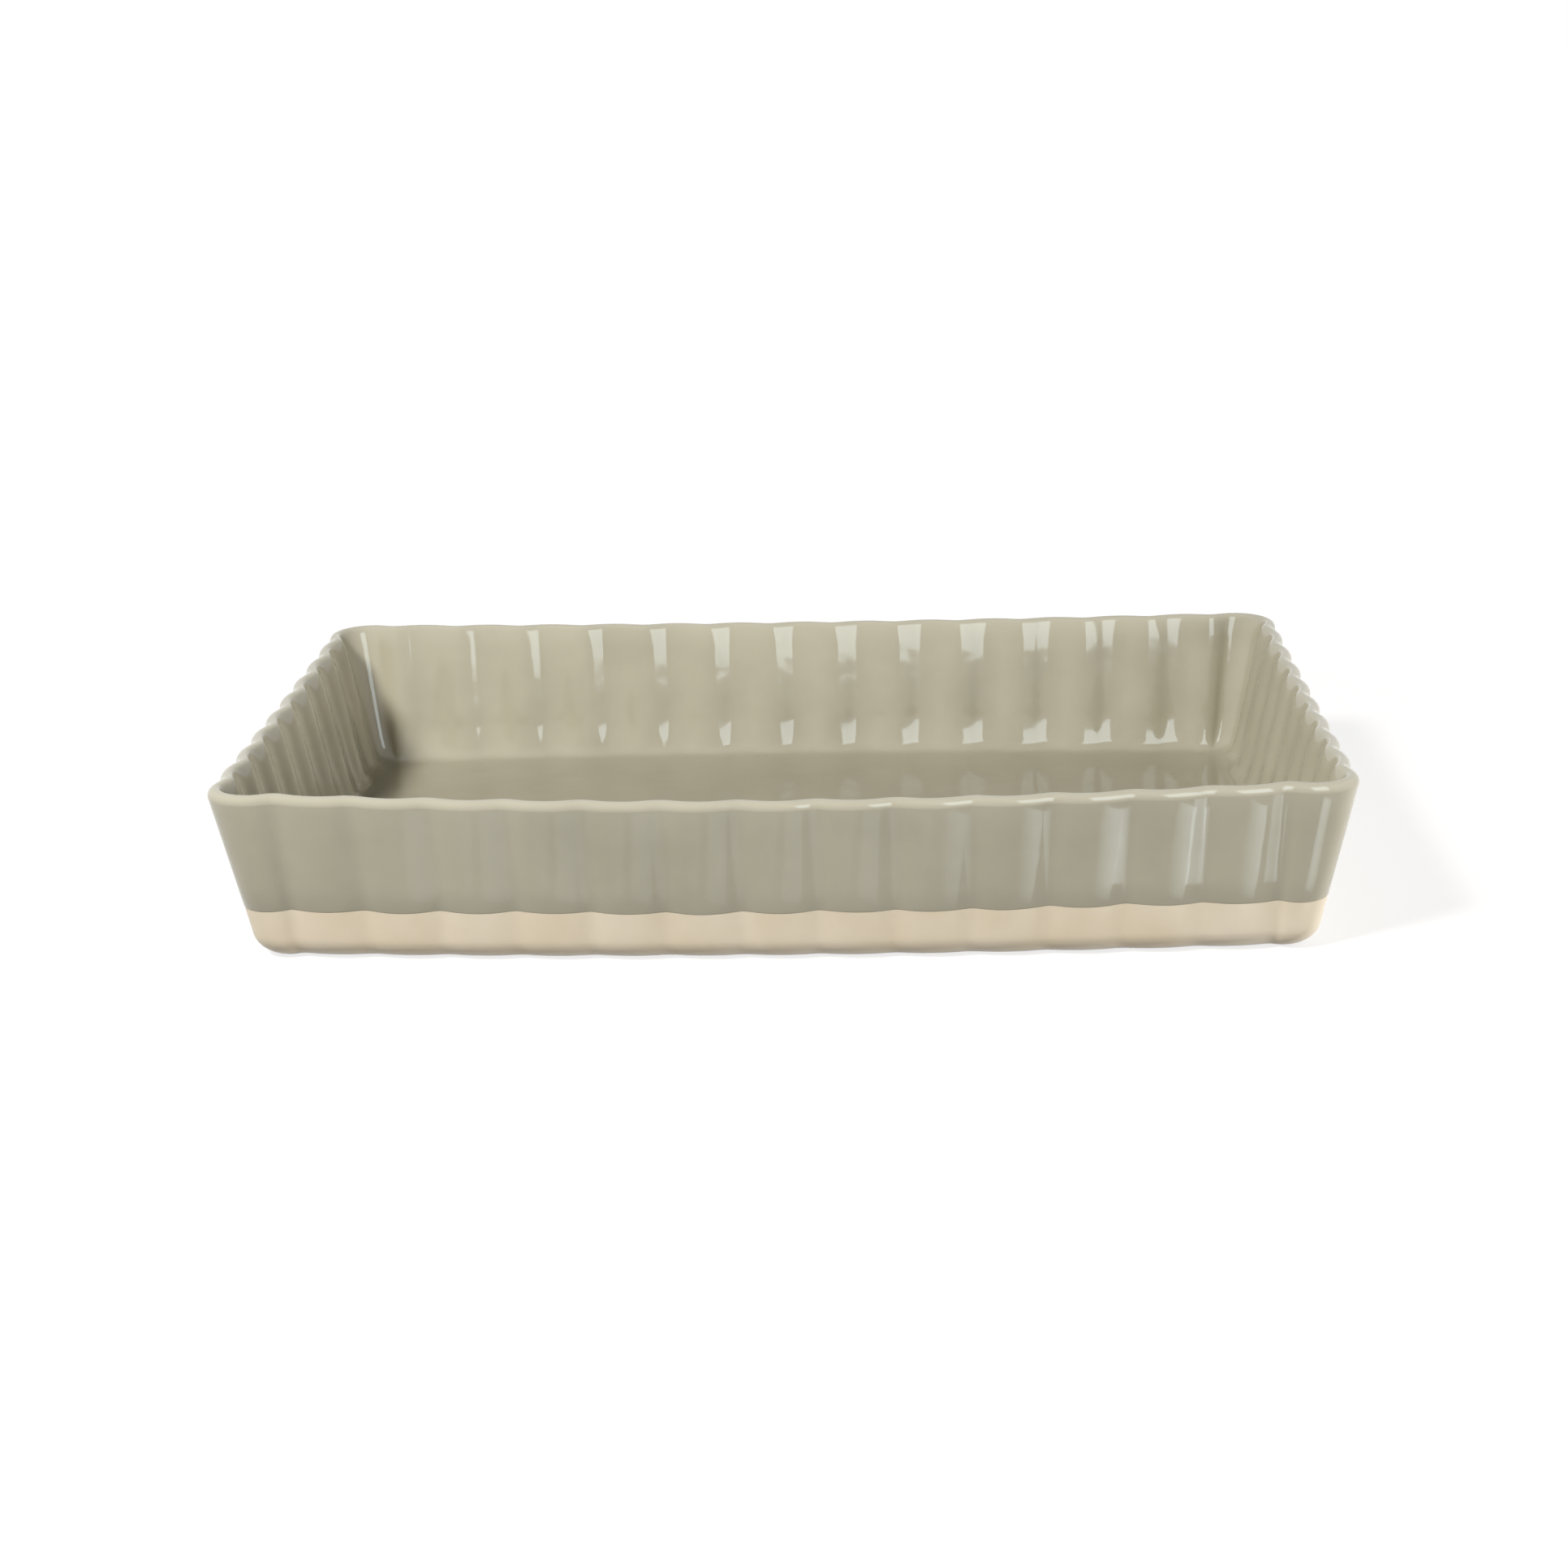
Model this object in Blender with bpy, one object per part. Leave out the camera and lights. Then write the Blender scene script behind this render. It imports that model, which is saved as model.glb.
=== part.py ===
"""Rectangular baking dish with scalloped walls: a stoneware body under two fired-on glazes.

Units are metres and +Z is up. The dish stands on the plane z = 0, centred on the origin, long sides along X.
Every surface is a stack of rings round the dish. A ring is set by its inset from the largest outline, its height
and the depth of its scallops, and "depth" is how far below the finished surface a layer lies.
"""

import math

import bmesh
import bpy

MM = 0.001

# Outside of the dish, over the crests of the scallops
LENGTH = 335 * MM
WIDTH = 226 * MM
HEIGHT = 53.7 * MM          # at the corners, where the rim stands highest

# Outline: the sides swell a little towards their middles, where the rim also dips
LONG_BOW = 5 * MM
SHORT_BOW = 0.5 * MM
LONG_DIP = 2.1 * MM
SHORT_DIP = 1.3 * MM
CORNER_REACH = 21 * MM      # of the large lobe on each corner, along either side
CORNER_LEAST = 3 * MM       # what it keeps as the outline shrinks towards the floor
CORNER_SPREAD = 0.2         # how much wider it gets, below the rim, for each step that the wall leans in

# Scallops
LONG_LOBES = 13
SHORT_LOBES = 8
LOBE_OUTSIDE = 2.25 * MM    # depth from crest to cusp
LOBE_INSIDE = 2.6 * MM
LOBE_FOOT = 1.2 * MM

# Section through a wall
WALL = 4.8 * MM
DRAFT = math.radians(11.75)
BASE_ROUND = 9 * MM
FLOOR_TOP = 6.8 * MM
FLOOR_FILLET = 8 * MM

# Foot
FOOT_SETBACK = 1 * MM
FOOT_BAND = 12 * MM
RECESS = 1 * MM
RECESS_SLOPE = 1.5 * MM

# Glazes
GLAZE = 0.4 * MM
GLAZE_GAP = 0.3 * MM
GLAZE_LINE = 16.2 * MM
GLAZE_END = math.radians(257)   # on the base round, 180 facing out and 270 facing down

# How finely the curves are divided
LOBE_STEPS = 4
CORNER_STEPS = 6
RIM_STEPS = 4
ROUND_STEPS = 2

RIM_RADIUS = WALL / 2
WALL_FACE = math.pi + DRAFT     # the way the outer face of a wall looks, in section
CLAY = GLAZE + GLAZE_GAP        # depth of the body's own surface under a glaze


def clear_scene():
    for thing in list(bpy.data.objects):
        bpy.data.objects.remove(thing, do_unlink=True)


def shares(steps):
    return [step / steps for step in range(steps + 1)]


def blend(first, last, share):
    return first + (last - first) * share


def wall_inset(from_middle, height):
    """Inset of a line that runs parallel to the wall's own middle, this far inside it."""
    rise = HEIGHT - RIM_RADIUS - height
    return RIM_RADIUS + from_middle / math.cos(DRAFT) + rise * math.tan(DRAFT)


def corner_size(inset, height):
    """The corner shrinks with the outline, and levels off instead of vanishing."""
    spread = CORNER_SPREAD * wall_inset(-RIM_RADIUS, height)
    spare = CORNER_REACH - CORNER_LEAST ** 2 / CORNER_REACH + spread - inset
    return (spare + math.hypot(spare, 2 * CORNER_LEAST)) / 2


def side_lobes(half_run, half_width, lobes, bow, lobe_depth):
    """Points from one end of a side to just before the other, as (along, outward)."""
    points = []
    for step in range(lobes * LOBE_STEPS):
        across = 2 * (step % LOBE_STEPS) / LOBE_STEPS - 1
        along = half_run * (2 * step / (lobes * LOBE_STEPS) - 1)
        outward = half_width - lobe_depth * across ** 2 - bow * (along / half_run) ** 2
        points.append((along, outward))
    return points


def corner_lobe(size, lobe_depth):
    """Points round one corner, measured from the place where its two sides end."""
    middle = math.sqrt(2 * lobe_depth * size) - lobe_depth
    radius = size - middle
    swing = math.asin(middle / radius)
    turns = [blend(-swing, math.pi / 2 + swing, step / CORNER_STEPS) for step in range(CORNER_STEPS)]
    return [(middle + radius * math.cos(turn), middle + radius * math.sin(turn)) for turn in turns]


def ring(inset, height, lobe_depth):
    """One closed ring of points round the dish, counter-clockwise from the left end of the front."""
    half_x = LENGTH / 2 - inset
    half_y = WIDTH / 2 - inset
    size = corner_size(inset, height)
    end_x = half_x - SHORT_BOW - size
    end_y = half_y - LONG_BOW - size
    corner = corner_lobe(size, lobe_depth)
    front = [(a, -out) for a, out in side_lobes(end_x, half_y, LONG_LOBES, LONG_BOW, lobe_depth)]
    right = [(out, a) for a, out in side_lobes(end_y, half_x, SHORT_LOBES, SHORT_BOW, lobe_depth)]
    front_right = [(end_x + v, -end_y - u) for u, v in corner]
    back_right = [(end_x + u, end_y + v) for u, v in corner]
    half = front + front_right + right + back_right
    outline = half + [(-x, -y) for x, y in half]

    dipped = max(0, (height - GLAZE_LINE) / (HEIGHT - GLAZE_LINE))
    points = []
    for x, y in outline:
        dip = LONG_DIP * max(0, 1 - (x / end_x) ** 2) if abs(y) > end_y else 0
        if abs(x) > end_x:
            dip = SHORT_DIP * max(0, 1 - (y / end_y) ** 2)
        points.append((x, y, height - dip * dipped))
    return points


def on_arc(inset, height, radius, angle):
    return inset + radius * math.cos(angle), height + radius * math.sin(angle)


def outer_wall_ring(height, depth):
    return ring(wall_inset(depth - RIM_RADIUS, height), height, LOBE_OUTSIDE)


def base_arc(depth, angle):
    inset = wall_inset(BASE_ROUND - RIM_RADIUS, BASE_ROUND)
    return on_arc(inset, BASE_ROUND, BASE_ROUND - depth, angle)


def base_rings(depth):
    """Rings round the bottom edge, from the end of the cream glaze up to the wall."""
    rings = []
    for share in shares(ROUND_STEPS):
        angle = blend(GLAZE_END, WALL_FACE, share)
        rings.append(ring(*base_arc(depth, angle), blend(LOBE_FOOT, LOBE_OUTSIDE, share)))
    return rings


def rim_rings(depth):
    """Rings over the rim, from the outer face of the wall to its inner face."""
    rings = []
    for share in shares(RIM_STEPS):
        angle = blend(math.pi, 0, share)
        inset, height = on_arc(RIM_RADIUS, HEIGHT - RIM_RADIUS, RIM_RADIUS - depth, angle)
        rings.append(ring(inset, height, blend(LOBE_OUTSIDE, LOBE_INSIDE, share)))
    return rings


def fillet_rings(depth):
    """Rings from the inner face of the wall down to the floor, where the scallops run out."""
    centre_height = FLOOR_TOP + FLOOR_FILLET
    centre_inset = wall_inset(RIM_RADIUS + FLOOR_FILLET, centre_height)
    rings = []
    for share in shares(ROUND_STEPS):
        angle = blend(WALL_FACE, 1.5 * math.pi, share)
        place = on_arc(centre_inset, centre_height, FLOOR_FILLET + depth, angle)
        rings.append(ring(*place, LOBE_INSIDE * math.cos(share * math.pi / 2)))
    return rings


def foot_rings():
    """Rings of the bare foot, from the recess under the floor out to the end of the cream glaze."""
    outer_edge = base_arc(GLAZE, GLAZE_END)[0] + FOOT_SETBACK
    inner_edge = outer_edge + FOOT_BAND
    return [
        ring(inner_edge + RECESS_SLOPE, RECESS, 0),
        ring(inner_edge, 0, 0),
        ring(outer_edge, 0, LOBE_FOOT),
    ]


def join(mesh, lower, upper):
    """A band of faces between two rings."""
    for i in range(len(lower)):
        mesh.faces.new((lower[i - 1], lower[i], upper[i], upper[i - 1]))


def add_skin(mesh, rings):
    """A skin over a list of rings, given back as rings of vertices."""
    skin = [[mesh.verts.new(point) for point in points] for points in rings]
    for lower, upper in zip(skin, skin[1:]):
        join(mesh, lower, upper)
    return skin


def make_material(name, colour, roughness):
    material = bpy.data.materials.new(name)
    material.use_nodes = True
    shader = material.node_tree.nodes["Principled BSDF"]
    shader.inputs["Base Color"].default_value = (*colour, 1)
    shader.inputs["Roughness"].default_value = roughness
    shader.inputs["Metallic"].default_value = 0
    return material


def finish_object(name, mesh, material, dish):
    """Splits the bands along one diagonal, so that layers stay parallel, and adds the object to the dish."""
    bands = [face for face in mesh.faces if len(face.verts) == 4]
    bmesh.ops.triangulate(mesh, faces=bands, quad_method="FIXED")
    bmesh.ops.recalc_face_normals(mesh, faces=mesh.faces)
    data = bpy.data.meshes.new(name)
    mesh.to_mesh(data)
    mesh.free()
    data.shade_smooth()
    data.set_sharp_from_angle(angle=math.radians(30))
    data.materials.append(material)
    piece = bpy.data.objects.new(name, data)
    piece.parent = dish
    bpy.context.collection.objects.link(piece)


def add_body(dish):
    mesh = bmesh.new()
    wall = [outer_wall_ring(GLAZE_LINE, CLAY)]
    skin = add_skin(mesh, foot_rings() + base_rings(CLAY) + wall + rim_rings(CLAY) + fillet_rings(CLAY))
    mesh.faces.new(skin[0])
    mesh.faces.new(skin[-1])
    clay = make_material("bare_stoneware", (0.62, 0.5, 0.36), 0.8)
    finish_object("stoneware_body", mesh, clay, dish)


def add_greige_glaze(dish):
    mesh = bmesh.new()
    skins = []
    for depth in (0, GLAZE):
        wall = [outer_wall_ring(GLAZE_LINE, depth)]
        skins.append(add_skin(mesh, wall + rim_rings(depth) + fillet_rings(depth)))
    outer, under = skins
    join(mesh, outer[0], under[0])
    mesh.faces.new(outer[-1])
    mesh.faces.new(under[-1])
    greige = make_material("greige_glaze", (0.41, 0.37, 0.27), 0.12)
    finish_object("greige_glaze_coat", mesh, greige, dish)


def add_cream_glaze(dish):
    mesh = bmesh.new()
    skins = []
    for depth in (0, GLAZE):
        wall = [outer_wall_ring(GLAZE_LINE - GLAZE_GAP, depth)]
        skins.append(add_skin(mesh, base_rings(depth) + wall))
    outer, under = skins
    join(mesh, outer[0], under[0])
    join(mesh, outer[-1], under[-1])
    cream = make_material("cream_glaze", (0.72, 0.6, 0.42), 0.3)
    finish_object("cream_foot_glaze", mesh, cream, dish)


def main():
    clear_scene()
    dish = bpy.data.objects.new("baking_dish", None)
    bpy.context.collection.objects.link(dish)
    add_body(dish)
    add_greige_glaze(dish)
    add_cream_glaze(dish)


main()
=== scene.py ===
import math

import bmesh
import bpy
from mathutils import Matrix, Vector


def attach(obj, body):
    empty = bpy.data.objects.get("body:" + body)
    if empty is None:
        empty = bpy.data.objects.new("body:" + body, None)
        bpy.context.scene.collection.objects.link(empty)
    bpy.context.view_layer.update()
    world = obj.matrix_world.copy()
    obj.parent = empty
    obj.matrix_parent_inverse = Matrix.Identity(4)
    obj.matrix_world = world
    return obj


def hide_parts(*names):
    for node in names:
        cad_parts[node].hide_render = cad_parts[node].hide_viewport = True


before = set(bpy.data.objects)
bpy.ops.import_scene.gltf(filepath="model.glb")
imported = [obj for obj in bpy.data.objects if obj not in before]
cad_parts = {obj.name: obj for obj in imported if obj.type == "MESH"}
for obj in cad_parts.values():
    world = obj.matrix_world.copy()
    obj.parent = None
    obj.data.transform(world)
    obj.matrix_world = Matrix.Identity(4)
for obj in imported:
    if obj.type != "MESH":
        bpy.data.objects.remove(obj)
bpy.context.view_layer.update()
print("packed dish loaded")

# what every piece of the dish shares, in millimetres: the moulded form, with the same laws as the solids that the
# pieces stand for
mould = {
    "length": 335, "width": 226, "height": 53.7,
    "longBow": 5, "shortBow": 0.5,          # how far the sides swell in plan
    "longDip": 2.1, "shortDip": 1.3,        # how far the rim sags between the corners
    "cornerReach": 21, "cornerLeast": 3, "cornerSpread": 0.2,
    "longLobes": 13, "shortLobes": 8,
    "wall": 4.8, "draft": math.radians(11.75),
    "baseRound": 9, "floorTop": 6.8, "floorFillet": 8,
    "lobeOutside": 2.25, "lobeFoot": 1.2,   # depth of the scallops, from crest to cusp
    "glazeLine": 16.2, "glazeEnd": math.radians(257), "glazeThickness": 0.4,
    "lobeSteps": 16, "cornerSteps": 24,
    "crispReach": 2, "softReach": 5,        # points to either side of a cusp that its round takes
    "rimSoftness": 0.6,                     # of the cusps, where the rim turns into the inside
}
rimRadius = mould["wall"] / 2
rimCentre = mould["height"] - rimRadius
wallFace = math.pi + mould["draft"]         # the way the outer face of a wall looks, in section
seam = mould["glazeLine"] - 0.2             # where the two glazes meet, before it wanders


def wallInset(fromMiddle, height):
    rise = mould["height"] - rimRadius - height
    return rimRadius + fromMiddle / math.cos(mould["draft"]) + rise * math.tan(mould["draft"])


def onArc(inset, height, radius, angle):
    return inset + radius * math.cos(angle), height + radius * math.sin(angle)


def blend(first, last, share):
    return first + (last - first) * share


def sharpOutline(inset, height, lobeDepth):
    # one turn round the dish, counter-clockwise from the left end of the front, and where its cusps are
    spread = mould["cornerSpread"] * wallInset(-rimRadius, height)
    spare = mould["cornerReach"] - mould["cornerLeast"] ** 2 / mould["cornerReach"] + spread - inset
    size = (spare + math.hypot(spare, 2 * mould["cornerLeast"])) / 2
    halfX, halfY = mould["length"] / 2 - inset, mould["width"] / 2 - inset
    endX, endY = halfX - mould["shortBow"] - size, halfY - mould["longBow"] - size

    def side(halfRun, halfWidth, lobes, bow):
        points = []
        for step in range(lobes * mould["lobeSteps"]):
            across = 2 * (step % mould["lobeSteps"]) / mould["lobeSteps"] - 1
            along = halfRun * (2 * step / (lobes * mould["lobeSteps"]) - 1)
            points.append((along, halfWidth - lobeDepth * across ** 2 - bow * (along / halfRun) ** 2))
        return points

    middle = math.sqrt(2 * lobeDepth * size) - lobeDepth
    radius = size - middle
    swing = math.asin(middle / radius)
    turns = [blend(-swing, math.pi / 2 + swing, step / mould["cornerSteps"]) for step in range(mould["cornerSteps"])]
    corner = [(middle + radius * math.cos(turn), middle + radius * math.sin(turn)) for turn in turns]
    front = [(a, -out) for a, out in side(endX, halfY, mould["longLobes"], mould["longBow"])]
    right = [(out, a) for a, out in side(endY, halfX, mould["shortLobes"], mould["shortBow"])]
    half = front + [(endX + v, -endY - u) for u, v in corner] + right + [(endX + u, endY + v) for u, v in corner]
    return half + [(-x, -y) for x, y in half], endX, endY


longRun = mould["longLobes"] * mould["lobeSteps"]
shortRun = mould["shortLobes"] * mould["lobeSteps"]
halfTurn = longRun + shortRun + 2 * mould["cornerSteps"]
stationCount = 2 * halfTurn
cusps = []
for start in (0, halfTurn):
    cusps += [start + step for step in range(0, longRun + 1, mould["lobeSteps"])]
    rightStart = start + longRun + mould["cornerSteps"]
    cusps += [rightStart + step for step in range(0, shortRun + 1, mould["lobeSteps"])]


def rounded(outline, reach):
    # each cusp gets the round bottom that glaze leaves in it, this many points to either side
    result = list(outline)
    for cusp in cusps:
        first, tip, last = [Vector(outline[(cusp + move) % stationCount]) for move in (-reach, 0, reach)]
        for move in range(-reach + 1, reach):
            t = (move + reach) / (2 * reach)
            point = first * (1 - t) ** 2 + tip * 2 * t * (1 - t) + last * t ** 2
            result[(cusp + move) % stationCount] = (point.x, point.y)
    return result


def ringAt(inset, height, lobeDepth, softness=0):
    # softness 0 is the crisp cusp of the outside, 1 the soft ridge of the inside
    outline, endX, endY = sharpOutline(inset, height, lobeDepth)
    crisp, soft = rounded(outline, mould["crispReach"]), rounded(outline, mould["softReach"])
    dipped = max(0, (height - mould["glazeLine"]) / (mould["height"] - mould["glazeLine"]))
    points = []
    for (x0, y0), (x1, y1) in zip(crisp, soft):
        x, y = blend(x0, x1, softness), blend(y0, y1, softness)
        dip = mould["longDip"] * max(0, 1 - (x / endX) ** 2) if abs(y) > endY else 0
        if abs(x) > endX:
            dip = mould["shortDip"] * max(0, 1 - (y / endY) ** 2)
        points.append(Vector((x, y, height - dip * dipped)))
    return points


cuspNearness = [0.0] * stationCount
for cusp in cusps:
    for move in range(-mould["lobeSteps"] // 2, mould["lobeSteps"] // 2 + 1):
        near = 1 - abs(move) / (mould["lobeSteps"] / 2)
        place = (cusp + move) % stationCount
        cuspNearness[place] = max(cuspNearness[place], near)


def glazeLineAt(station):
    # the dipped glaze doesn't end dead level: it wanders a little, and creeps up where two scallops meet
    edge = {"waves": [(0.16, 5, 0.6), (0.12, 13, 2.1), (0.07, 37, 4.0)], "creep": 0.32}     # height, count and phase
    turn = 2 * math.pi * station / stationCount
    wander = sum(rise * math.sin(count * turn + phase) for rise, count, phase in edge["waves"])
    return wander + edge["creep"] * cuspNearness[station] ** 2


def startRing(name, points):
    # a circle of loose edges, laid out along the first ring
    bpy.ops.object.select_all(action="DESELECT")
    bpy.ops.mesh.primitive_circle_add(vertices=stationCount, radius=mould["length"] / 2000)
    piece = bpy.context.object
    piece.name = piece.data.name = name
    piece.data.attributes.new("station", "INT", "POINT")
    piece.data.attributes.new("glazeRunAndPaintedLight", "FLOAT", "POINT")
    piece.data.attributes["station"].data.foreach_set("value", list(range(stationCount)))
    for index, vertex in enumerate(piece.data.vertices):
        vertex.co = points[index] / 1000
    bpy.ops.object.mode_set(mode="EDIT")
    bpy.ops.mesh.select_mode(type="VERT")
    bpy.ops.mesh.select_all(action="SELECT")
    return piece


def nextRing(piece, points, glazeRunAndPaintedLight=0.0):
    # extrudes the open ring and lays the new one out; the last value is 1 where the glaze has run thin and a highlight
    # is painted in, and negative where it has pooled and shade is painted in
    bpy.ops.mesh.extrude_region_move()
    mesh = bmesh.from_edit_mesh(piece.data)
    stationLayer = mesh.verts.layers.int["station"]
    paintedLightLayer = mesh.verts.layers.float["glazeRunAndPaintedLight"]
    for vertex in mesh.verts:
        if vertex.select:
            vertex.co = points[vertex[stationLayer]] / 1000
            vertex[paintedLightLayer] = glazeRunAndPaintedLight
    bmesh.update_edit_mesh(piece.data)


def closeRing():
    bpy.ops.mesh.edge_face_add()


def thicken(piece):
    # a glaze is one skin so far, and its depth goes inwards
    bpy.ops.mesh.select_all(action="SELECT")
    bpy.ops.mesh.normals_make_consistent(inside=False)
    bpy.ops.object.mode_set(mode="OBJECT")
    solid = piece.modifiers.new("thickness", "SOLIDIFY")
    solid.thickness, solid.offset, solid.use_even_offset = mould["glazeThickness"] / 1000, -1, True
    bpy.ops.object.modifier_apply(modifier=solid.name)
    bpy.ops.object.mode_set(mode="EDIT")


def finishPiece(piece, node, material):
    bpy.ops.mesh.select_all(action="SELECT")
    bpy.ops.mesh.normals_make_consistent(inside=False)
    bpy.ops.object.mode_set(mode="OBJECT")
    bpy.ops.object.select_all(action="DESELECT")
    piece.select_set(True)
    bpy.context.view_layer.objects.active = piece
    bpy.ops.object.shade_smooth_by_angle(angle=math.radians(35))    # only the cut edges stay sharp
    piece.data.materials.clear()
    piece.data.materials.append(material)
    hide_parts(node)
    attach(piece, "root")
    print(piece.name, "made,", len(piece.data.polygons), "faces")


def shares(steps, skip=0):
    return [step / steps for step in range(skip, steps + 1)]


# materials

def linear(code):
    # sRGB hex to the linear values that the shader wants
    channels = [int(code[place:place + 2], 16) / 255 for place in (0, 2, 4)]
    return tuple(c / 12.92 if c <= 0.04045 else ((c + 0.055) / 1.055) ** 2.4 for c in channels) + (1.0,)


def addNode(tree, kind, settings=None, links=None):
    node = tree.nodes.new(kind)
    for name, value in (settings or {}).items():
        if name in node.inputs:
            node.inputs[name].default_value = value
        else:
            setattr(node, name, value)
    for name, source in (links or {}).items():
        tree.links.new(source, node.inputs[name])
    return node


def newMaterial(name):
    material = bpy.data.materials.new(name)
    material.use_nodes = True
    tree = material.node_tree
    return material, tree, tree.nodes["Principled BSDF"]


def mixColours(tree, share, first, second):
    # the share is a node's output, and each colour is a hex code or a node's output
    mixed = addNode(tree, "ShaderNodeMix", {"data_type": "RGBA"})
    tree.links.new(share, mixed.inputs[0])
    for socket, colour in ((mixed.inputs[6], first), (mixed.inputs[7], second)):
        if isinstance(colour, str):
            socket.default_value = linear(colour)
        else:
            tree.links.new(colour, socket)
    return mixed.outputs[2]


def noiseOf(tree, place, size, **settings):
    # size is in millimetres
    noise = addNode(tree, "ShaderNodeTexNoise", {"Scale": 1000 / size, **settings}, {"Vector": place.outputs["Object"]})
    return noise.outputs["Fac"]


def cloudedColour(tree, noise, limits, first, second):
    # soft clouds of two tones; the noise reaches them at its two limits
    share = addNode(tree, "ShaderNodeMapRange", {"From Min": limits[0], "From Max": limits[1]}, {"Value": noise})
    return mixColours(tree, share.outputs["Result"], first, second)


def reliefOf(tree, noise, strength, depth, under=None):
    # depth is in millimetres, and under is the coarser relief that this one lies on
    links = {"Height": noise, "Normal": under} if under else {"Height": noise}
    return addNode(tree, "ShaderNodeBump", {"Strength": strength, "Distance": depth / 1000}, links).outputs["Normal"]


def finishMaterial(tree, shader, colour, relief, values):
    tree.links.new(colour, shader.inputs["Base Color"])
    tree.links.new(relief, shader.inputs["Normal"])
    shader.inputs["IOR"].default_value = values["ior"]
    shader.inputs["Roughness"].default_value = values["roughness"]


def makeGreigeGlaze():
    # glossy dipped glaze on stoneware: a thin glass coat, so the light catches it in crisp, slightly wavering streaks,
    # and it is paler over the rim, where it ran thin, with a painted highlight, and darker on the floor, where it
    # pooled, with painted shade
    glaze = {"body": "b0aa95", "shaded": "a8a28d", "glazeRunAndPaintedLight": "b7b29e", "pooledAndPaintedShade": "9a937e", "toneSize": 30,
             "toneLimits": (0.3, 0.6), "waverSize": 9, "waverDepth": 0.3, "peelSize": 1.6, "peelDepth": 0.04,
             "ior": 1.52, "roughness": 0.07}
    material, tree, shader = newMaterial("glossyGreigeStonewareGlaze")
    place = addNode(tree, "ShaderNodeTexCoord")
    tone = noiseOf(tree, place, glaze["toneSize"], Detail=3, Roughness=0.55)
    toned = cloudedColour(tree, tone, glaze["toneLimits"], glaze["shaded"], glaze["body"])
    # paler where this value is positive: glaze run thin and a painted highlight along the rim
    glazeRunAndPaintedLight = addNode(tree, "ShaderNodeAttribute", {"attribute_name": "glazeRunAndPaintedLight"}).outputs["Fac"]
    thinnedAndHighlighted = mixColours(tree, glazeRunAndPaintedLight, toned, glaze["glazeRunAndPaintedLight"])
    # a negative value is a place where the glaze pooled, with painted shade on the floor and in the round under the
    # walls
    pooledAndPaintedShade = addNode(tree, "ShaderNodeMapRange", {"From Min": -1, "From Max": 0, "To Min": 1, "To Max": 0},
                   {"Value": glazeRunAndPaintedLight})
    pooledAndShadedColour = mixColours(tree, pooledAndPaintedShade.outputs["Result"], thinnedAndHighlighted, glaze["pooledAndPaintedShade"])
    waver = reliefOf(tree, noiseOf(tree, place, glaze["waverSize"], Detail=1), 0.35, glaze["waverDepth"])
    peel = reliefOf(tree, noiseOf(tree, place, glaze["peelSize"], Detail=2), 0.12, glaze["peelDepth"], waver)
    finishMaterial(tree, shader, pooledAndShadedColour, peel, glaze)
    return material


def makeCreamGlaze():
    # satin cream glaze on the dipped foot: smooth to the touch, but it only sheens where the greige glaze shines
    glaze = {"body": "decfb4", "pale": "e5d8c2", "toneSize": 24, "toneLimits": (0.35, 0.65), "grainSize": 0.9,
             "grainDepth": 0.05, "ior": 1.5, "roughness": 0.32}
    material, tree, shader = newMaterial("satinCreamStonewareGlaze")
    place = addNode(tree, "ShaderNodeTexCoord")
    tone = noiseOf(tree, place, glaze["toneSize"], Detail=4)
    toned = cloudedColour(tree, tone, glaze["toneLimits"], glaze["body"], glaze["pale"])
    grain = reliefOf(tree, noiseOf(tree, place, glaze["grainSize"], Detail=2), 0.15, glaze["grainDepth"])
    finishMaterial(tree, shader, toned, grain, glaze)
    return material


def makeBareStoneware():
    # unglazed stoneware wiped clean on the foot: matt and dry, with small dark iron specks and a fine sandy grain,
    # which is drawn coarser than the real one of about 0.2 mm so that it shows
    clay = {"body": "cfbd9f", "warm": "c2ab88", "speck": "8f7a5c", "toneSize": 14, "toneLimits": (0.3, 0.7),
            "speckSize": 1.4, "speckEdge": (0.13, 0.2), "speckStrength": 0.55, "grainSize": 0.5, "grainDepth": 0.2,
            "ior": 1.5, "roughness": 0.85}
    material, tree, shader = newMaterial("bareFiredStoneware")
    place = addNode(tree, "ShaderNodeTexCoord")
    tone = noiseOf(tree, place, clay["toneSize"], Detail=5)
    toned = cloudedColour(tree, tone, clay["toneLimits"], clay["warm"], clay["body"])
    cells = addNode(tree, "ShaderNodeTexVoronoi", {"Scale": 1000 / clay["speckSize"]},
                    {"Vector": place.outputs["Object"]})
    inner, outer = clay["speckEdge"]
    specks = addNode(tree, "ShaderNodeMapRange", {"From Min": inner, "From Max": outer, "To Min": clay["speckStrength"],
                                                  "To Max": 0.0}, {"Value": cells.outputs["Distance"]})
    speckled = mixColours(tree, specks.outputs["Result"], toned, clay["speck"])
    grain = reliefOf(tree, noiseOf(tree, place, clay["grainSize"], Detail=3), 0.5, clay["grainDepth"])
    finishMaterial(tree, shader, speckled, grain, clay)
    return material


greigeGlaze = makeGreigeGlaze()
creamGlaze = makeCreamGlaze()
bareStoneware = makeBareStoneware()
print("materials made")


# greige glaze, from the line on the outside over the rim to the floor

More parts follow.
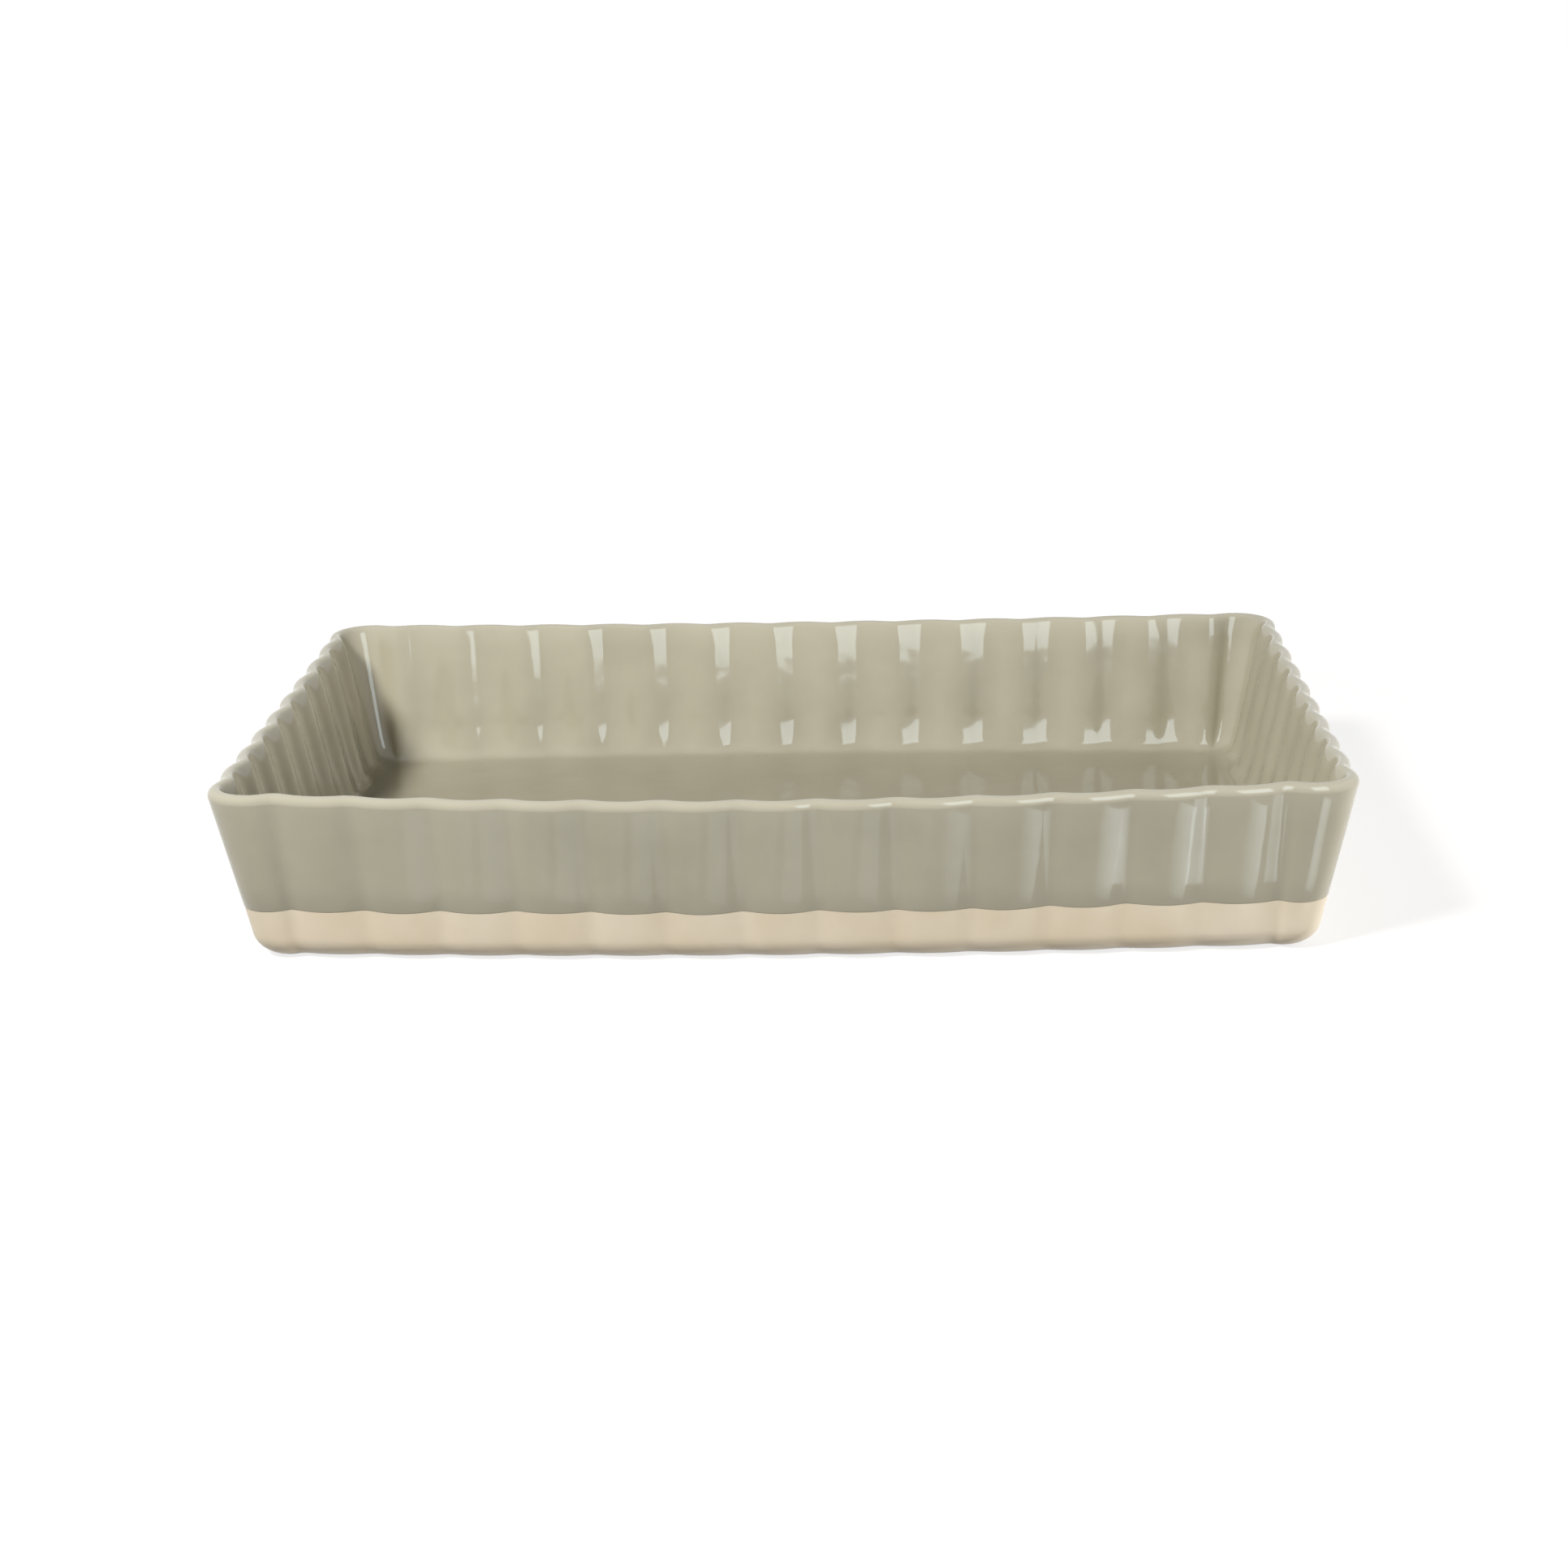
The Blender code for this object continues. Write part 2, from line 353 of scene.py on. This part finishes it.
def makeGreigeCoat():
    coat = {"lobeInside": 2.9,
            "lip": [(0.0, 0.22), (0.12, 0.08), (0.4, 0.0)],     # rise above the seam, and how far it is sunk in
            "wanderFades": 4, "wallFrom": 3,    # the rise over which the wander dies away, and the plain wall's start
            "flareFrom": 46.3, "flare": 0.0167, "flareTilt": math.radians(22.5), "flareSoftness": 0.8, "rimInner": 1.8,
            "scoopFrom": 19.5, "fillet": 4,     # where the scallops start to run out, and the round under them
            "wallSteps": 6, "rimSteps": 14, "flareSteps": 5, "innerSteps": 4, "scoopSteps": 8, "filletSteps": 8,
            "floorInsets": [3, 12, 32, 60]}
    # how thin the glaze has run, with a painted highlight: just below the rim, at the rim's edges, what the top of the
    # rim adds to that, where the rim opens; and on the floor, where it has pooled, with painted shade
    glazeRunAndPaintedLight = {"wall": 0.1, "wallFrom": 0.8, "edge": 0.25, "top": 0.75, "flare": 0.3, "floor": -0.4}

    def lipRing(rise, depth):
        ring = ringAt(wallInset(depth - rimRadius, seam + rise), seam + rise, mould["lobeOutside"])
        for station, point in enumerate(ring):
            point.z += glazeLineAt(station) * (1 - rise / coat["wanderFades"])
        return ring

    piece = startRing("greigeGlazeCoat", lipRing(*coat["lip"][0]))
    for rise, depth in coat["lip"][1:]:
        nextRing(piece, lipRing(rise, depth))
    for share in shares(coat["wallSteps"], 1)[:-1]:
        height = blend(seam + coat["wallFrom"], rimCentre, share)
        nextRing(piece, ringAt(wallInset(-rimRadius, height), height, mould["lobeOutside"]),
                 0.0 if share < glazeRunAndPaintedLight["wallFrom"] else glazeRunAndPaintedLight["wall"])
    # over the rim, and down a rim that opens a little into each scallop
    rimEnd = math.atan(math.tan(coat["flareTilt"]) * rimRadius / coat["rimInner"])
    angles = [wallFace, math.pi + mould["draft"] / 2]
    angles += [blend(math.pi, rimEnd, share) for share in shares(coat["rimSteps"])]
    for angle in angles:
        across = rimRadius if angle > math.pi / 2 else coat["rimInner"]
        inset, height = rimRadius + across * math.cos(angle), rimCentre + rimRadius * math.sin(angle)
        share = max(0, min(1, (math.pi - angle) / math.pi))
        lobes = blend(mould["lobeOutside"], coat["lobeInside"], share)
        nextRing(piece, ringAt(inset, height, lobes, mould["rimSoftness"] * share),
                 glazeRunAndPaintedLight["edge"] + glazeRunAndPaintedLight["top"] * max(0, math.sin(angle)) ** 2)
    rimFoot = height
    for share in shares(coat["flareSteps"], 1):
        height = blend(rimFoot, coat["flareFrom"], share)
        inset = wallInset(rimRadius, height) - coat["flare"] * (height - coat["flareFrom"]) ** 2
        softness = blend(mould["rimSoftness"], coat["flareSoftness"], share)
        nextRing(piece, ringAt(inset, height, coat["lobeInside"], softness), glazeRunAndPaintedLight["flare"] * (1 - share))
    for share in shares(coat["innerSteps"], 1):
        height = blend(coat["flareFrom"], coat["scoopFrom"], share)
        softness = blend(coat["flareSoftness"], 1, share)
        nextRing(piece, ringAt(wallInset(rimRadius, height), height, coat["lobeInside"], softness))

    # each scallop ends in a round scoop: its crest curves in until it meets the line of the ridges
    def scoopRing(inset, height):
        run = (coat["scoopFrom"] - height) / (coat["scoopFrom"] - mould["floorTop"])
        lobes = coat["lobeInside"] * math.sqrt(max(0, 1 - run ** 2))
        return ringAt(inset + coat["lobeInside"] - lobes, height, lobes, 1)

    filletHeight = mould["floorTop"] + coat["fillet"]
    filletInset = wallInset(rimRadius + coat["fillet"], filletHeight)
    lowest = onArc(filletInset, filletHeight, coat["fillet"], wallFace)[1]
    for share in shares(coat["scoopSteps"], 1):
        height = blend(coat["scoopFrom"], lowest, share)
        nextRing(piece, scoopRing(wallInset(rimRadius, height), height))
    for share in shares(coat["filletSteps"], 1):
        angle = blend(wallFace, 1.5 * math.pi, share)
        # the round under the wall and the floor get darker: pooled glaze and painted shade
        nextRing(piece, scoopRing(*onArc(filletInset, filletHeight, coat["fillet"], angle)), glazeRunAndPaintedLight["floor"] * share)
    for extra in coat["floorInsets"]:
        nextRing(piece, ringAt(filletInset + coat["lobeInside"] + extra, mould["floorTop"], 0), glazeRunAndPaintedLight["floor"])
    closeRing()
    thicken(piece)
    finishPiece(piece, "greige_glaze_coat", greigeGlaze)


# cream glaze on the foot, up to the greige

def makeCreamFoot():
    foot = {"roundSteps": 10, "wallSteps": 3, "sunk": 0.12}     # its top edge is sunk in a little under the greige
    inset = wallInset(mould["baseRound"] - rimRadius, mould["baseRound"])
    rings = []
    for share in shares(foot["roundSteps"]):
        angle = blend(mould["glazeEnd"], wallFace, share)
        place = onArc(inset, mould["baseRound"], mould["baseRound"], angle)
        rings.append(ringAt(*place, blend(mould["lobeFoot"], mould["lobeOutside"], share)))
    low = onArc(inset, mould["baseRound"], mould["baseRound"], wallFace)[1]
    for share in shares(foot["wallSteps"], 1):
        height = blend(low, seam, share)
        ring = ringAt(wallInset(foot["sunk"] * share - rimRadius, height), height, mould["lobeOutside"])
        for station, point in enumerate(ring):
            point.z += glazeLineAt(station) * share ** 2
        rings.append(ring)
    piece = startRing("creamFootGlaze", rings[0])
    for ring in rings[1:]:
        nextRing(piece, ring)
    thicken(piece)
    finishPiece(piece, "cream_foot_glaze", creamGlaze)


# stoneware body, which shows as the bare foot underneath

def makeBody():
    body = {"depth": 0.55, "lobeInside": 2.6, "setback": 1, "band": 12, "edgeRound": 0.4, "edgeRise": 0.06,
            "recess": 1, "recessSlope": 1.5, "recessRounds": [(0.7, 0.88), (0.25, 0.12)], "recessFace": 60,
            "support": 0.6, "recessSupport": 0.8,   # rings close to a bend, so that the flats beside it shade flat
            "arcSteps": 4}
    inset = wallInset(mould["baseRound"] - rimRadius, mould["baseRound"])
    glazeEdge = onArc(inset, mould["baseRound"], mould["baseRound"] - mould["glazeThickness"], mould["glazeEnd"])[0]
    outer = glazeEdge + body["setback"]
    inner = outer + body["band"]
    slope, recess, edge = body["recessSlope"], body["recess"], outer + body["edgeRound"]
    rings = [ringAt(inner + extra, recess, 0) for extra in (body["recessFace"], slope + body["recessSupport"], slope)]
    rings += [ringAt(inner + slope * along, recess * rise, 0) for along, rise in body["recessRounds"]]
    rings += [ringAt(inner, 0, 0), ringAt(inner - body["support"], 0, 0)]
    rings += [ringAt(edge + body["support"], 0, mould["lobeFoot"]), ringAt(edge, 0, mould["lobeFoot"]),
              ringAt(outer, body["edgeRise"], mould["lobeFoot"])]
    for share in shares(body["arcSteps"]):
        angle = blend(mould["glazeEnd"], wallFace, share)
        place = onArc(inset, mould["baseRound"], mould["baseRound"] - body["depth"], angle)
        rings.append(ringAt(*place, blend(mould["lobeFoot"], mould["lobeOutside"], share)))
    for share in shares(body["arcSteps"]):
        angle = blend(math.pi, 0, share)
        place = onArc(rimRadius, rimCentre, rimRadius - body["depth"], angle)
        lobes = blend(mould["lobeOutside"], body["lobeInside"], share)
        rings.append(ringAt(*place, lobes, mould["rimSoftness"] * share))
    filletHeight = mould["floorTop"] + mould["floorFillet"]
    filletInset = wallInset(rimRadius + mould["floorFillet"], filletHeight)
    for share in shares(body["arcSteps"]):
        angle = blend(wallFace, 1.5 * math.pi, share)
        place = onArc(filletInset, filletHeight, mould["floorFillet"] + body["depth"], angle)
        rings.append(ringAt(*place, body["lobeInside"] * math.cos(share * math.pi / 2), 1))
    piece = startRing("stonewareBody", rings[0])
    closeRing()
    for ring in rings[1:]:
        nextRing(piece, ring)
    closeRing()
    finishPiece(piece, "stoneware_body", bareStoneware)


makeBody()
makeCreamFoot()
makeGreigeCoat()


# camera, floor, backdrop and light

def makeCamera():
    shot = {"place": (36.056, -886.817, 287.487), "yaw": 2.499, "pitch": -16.545, "roll": 1.398, "lens": 65.51,
            "sensor": 36, "clip": (0.01, 50)}
    data = bpy.data.cameras.new("photoCamera")
    data.lens, data.sensor_width, data.sensor_fit = shot["lens"], shot["sensor"], "HORIZONTAL"
    data.clip_start, data.clip_end = shot["clip"]
    camera = bpy.data.objects.new("photoCamera", data)
    bpy.context.scene.collection.objects.link(camera)
    turn = Matrix.Identity(3)
    for part, axis in (("yaw", "Z"), ("pitch", "X"), ("roll", "Y")):
        turn = turn @ Matrix.Rotation(math.radians(shot[part]), 3, axis)
    # the camera looks along its own -Z with +Y up
    look = turn @ Matrix.Rotation(math.radians(90), 3, "X")
    camera.matrix_world = Matrix.Translation(Vector(shot["place"]) / 1000) @ look.to_4x4()
    bpy.context.scene.camera = camera


def seenDirectly(tree):
    # 1 for what the camera sees, itself or by way of a gloss or a glass, and 0 for the light that falls on things
    rays = addNode(tree, "ShaderNodeLightPath").outputs
    mirrored = addNode(tree, "ShaderNodeMath", {"operation": "MAXIMUM"},
                       {0: rays["Is Glossy Ray"], 1: rays["Is Transmission Ray"]})
    seen = addNode(tree, "ShaderNodeMath", {"operation": "MAXIMUM"}, {0: rays["Is Camera Ray"], 1: mirrored.outputs[0]})
    return seen.outputs[0]


def makeFloor():
    floor = {"size": 12, "drop": 0.0002, "colour": "8c8a86", "roughness": 0.9, "specular": 0.2,
             "lift": 0.78, "near": 0.3, "far": 1.0}     # the lift near the dish grows to 1 this many metres away
    bpy.ops.object.select_all(action="DESELECT")
    bpy.ops.mesh.primitive_plane_add(size=floor["size"], location=(0, 0, -floor["drop"]))
    plane = bpy.context.object
    plane.name = "paleFloor"
    material, tree, shader = newMaterial("paleFloorPaper")
    shader.inputs["Base Color"].default_value = linear(floor["colour"])
    shader.inputs["Roughness"].default_value = floor["roughness"]
    shader.inputs["Specular IOR Level"].default_value = floor["specular"]
    shader.inputs["Emission Color"].default_value = (1, 1, 1, 1)
    # the camera and the glaze see the open floor as white, and still see the dish's shadow on it
    place = addNode(tree, "ShaderNodeTexCoord")
    away = addNode(tree, "ShaderNodeVectorMath", {"operation": "LENGTH"}, {0: place.outputs["Object"]})
    white = addNode(tree, "ShaderNodeMapRange",
                    {"From Min": floor["near"], "From Max": floor["far"], "To Min": floor["lift"], "To Max": 1.0},
                    {"Value": away.outputs["Value"]})
    lift = addNode(tree, "ShaderNodeMath", {"operation": "MULTIPLY"},
                   {0: seenDirectly(tree), 1: white.outputs["Result"]})
    tree.links.new(lift.outputs[0], shader.inputs["Emission Strength"])
    plane.data.materials.append(material)


def makeWorld():
    sky = {"seen": (1, 1, 1, 1), "light": (0.93, 0.96, 1.0, 1), "strength": 0.04}
    world = bpy.data.worlds.new("studioAir")
    bpy.context.scene.world = world
    world.use_nodes = True
    tree = world.node_tree
    tree.nodes.clear()
    seen = addNode(tree, "ShaderNodeBackground", {"Color": sky["seen"], "Strength": 1.0})
    light = addNode(tree, "ShaderNodeBackground", {"Color": sky["light"], "Strength": sky["strength"]})
    mixed = addNode(tree, "ShaderNodeMixShader", {}, {0: seenDirectly(tree), 1: light.outputs[0], 2: seen.outputs[0]})
    addNode(tree, "ShaderNodeOutputWorld", {}, {"Surface": mixed.outputs[0]})


def makeLamp(name, size, power, azimuth=0, elevation=0, distance=1.5, roll=0, target=(0, 0, 30), colour="ffffff",
             seenAs="both", spread=180):
    # the lamp looks at its target in millimetres; azimuth is measured from the front of the dish, positive to the right
    data = bpy.data.lights.new(name, "AREA")
    data.shape, data.size, data.size_y = "RECTANGLE", size[0], size[1]
    data.energy, data.color = power, linear(colour)[:3]
    lamp = bpy.data.objects.new(name, data)
    bpy.context.scene.collection.objects.link(lamp)
    a, e = math.radians(azimuth), math.radians(elevation)
    away = Vector((math.sin(a) * math.cos(e), -math.cos(a) * math.cos(e), math.sin(e)))
    lamp.location = Vector(target) / 1000 + away * distance
    facing = away.to_track_quat("Z", "Y") @ Matrix.Rotation(math.radians(roll), 3, "Z").to_quaternion()
    lamp.rotation_euler = facing.to_euler()
    data.spread = math.radians(spread)
    lamp.visible_camera = False
    lamp.visible_glossy = seenAs != "light"
    lamp.visible_diffuse = seenAs != "reflection"


makeCamera()
makeFloor()
makeWorld()
lamps = [
    {"name": "keyFrontLeft", "size": (0.26, 0.26), "power": 25.2, "azimuth": -38, "elevation": 42, "seenAs": "light"},
    {"name": "softboxFrontRight", "size": (0.2, 0.27), "power": 0.78, "azimuth": 33, "elevation": 30, "distance": 0.43,
     "roll": -6, "colour": "ebfaff", "seenAs": "reflection"},
    {"name": "fillRight", "size": (0.6, 0.2), "power": 6.6, "azimuth": 60, "elevation": 6, "seenAs": "light"},
    {"name": "fillHigh", "size": (0.5, 0.5), "power": 2, "azimuth": 75, "elevation": 30, "seenAs": "light"},
    {"name": "lowRight", "size": (0.3, 0.04), "power": 0.42, "azimuth": 80, "elevation": -0.5, "distance": 0.45,
     "seenAs": "light"},
    {"name": "lowFarRight", "size": (0.8, 0.05), "power": 2.2, "azimuth": 85, "distance": 1.0, "seenAs": "light"},
    {"name": "rearFill", "size": (0.8, 0.3), "power": 14, "azimuth": 170, "elevation": 10, "seenAs": "light"},
]
# small cards close to the front, each seen only in the gloss of one scallop, on its right flank: place along the front,
# power in thousandths, azimuth and spread; the first seven only give the middle of the front a sheen
cards = [(x, 0.2, 26 + 0.08 * x, 80) for x in (-108.8, -87, -65.3, -43.5, -21.8, 0, 21.8)]
cards += [(43.5, 0.13, 40, 44), (66, 0.17, 40, 40), (90, 0.22, 42, 40), (111, 0.22, 41, 40), (130.5, 0.22, 37, 40),
          (155.5, 0.24, 36, 40)]
front = {"end": 141, "middle": -110, "swell": 4.5, "corner": -103, "height": 31}    # the face that the cards look at
for number, (x, power, azimuth, spread) in enumerate(cards):
    y = front["middle"] + front["swell"] * (x / front["end"]) ** 2 if x < front["end"] else front["corner"]
    lamps.append({"name": f"reflectorCard{number + 1}", "size": (0.016, 0.034), "power": power / 1000,
                  "azimuth": azimuth, "elevation": -38, "distance": 0.03, "target": (x, y, front["height"]),
                  "spread": spread, "colour": "ebfaff", "seenAs": "reflection"})
for lamp in lamps:
    makeLamp(**lamp)
print("camera, floor, world and lamps made")

scene = bpy.context.scene
scene.view_settings.view_transform = "Standard"
